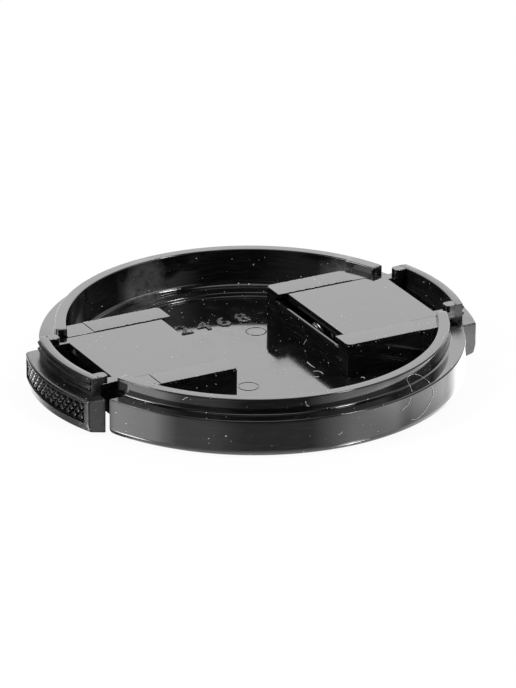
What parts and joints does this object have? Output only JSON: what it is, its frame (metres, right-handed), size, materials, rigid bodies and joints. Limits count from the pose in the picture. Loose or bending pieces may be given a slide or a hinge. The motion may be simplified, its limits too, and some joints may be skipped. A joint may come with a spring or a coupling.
{
  "type": "camera lens cap",
  "caption": "Round side-pinch lens cap with a raised rim and sprung toothed sliders that snap into a lens filter thread when their grip pads are squeezed.",
  "frame": {"origin": "centre of the front face, which is the lowest face", "axes": "+X along the way the sliders travel, through the right slider; +Z out of the open side, towards the lens"},
  "size_m": [0.0662, 0.0612, 0.0079],
  "materials": {
    "black_body_plastic": "glossy moulded black",
    "black_slider_plastic": "semi-gloss moulded black",
    "spring_steel": "bright drawn wire"
  },
  "bodies": {
    "body": {"cap_body": "black_body_plastic", "left_spring": "spring_steel", "right_spring": "spring_steel"},
    "left_slide": {"left_slider": "black_slider_plastic"},
    "right_slide": {"right_slider": "black_slider_plastic"}
  },
  "joints": [
    {"name": "left_squeeze", "type": "slide", "parent": "body", "child": "left_slide", "axis": [1, 0, 0], "range_m": [0, 0.0031], "stiffness_N_per_m": 700, "springref_m": -0.0015, "deforming": ["left_spring"]},
    {"name": "right_squeeze", "type": "slide", "parent": "body", "child": "right_slide", "axis": [-1, 0, 0], "range_m": [0, 0.0031], "stiffness_N_per_m": 700, "springref_m": -0.0015, "deforming": ["right_spring"]}
  ]
}
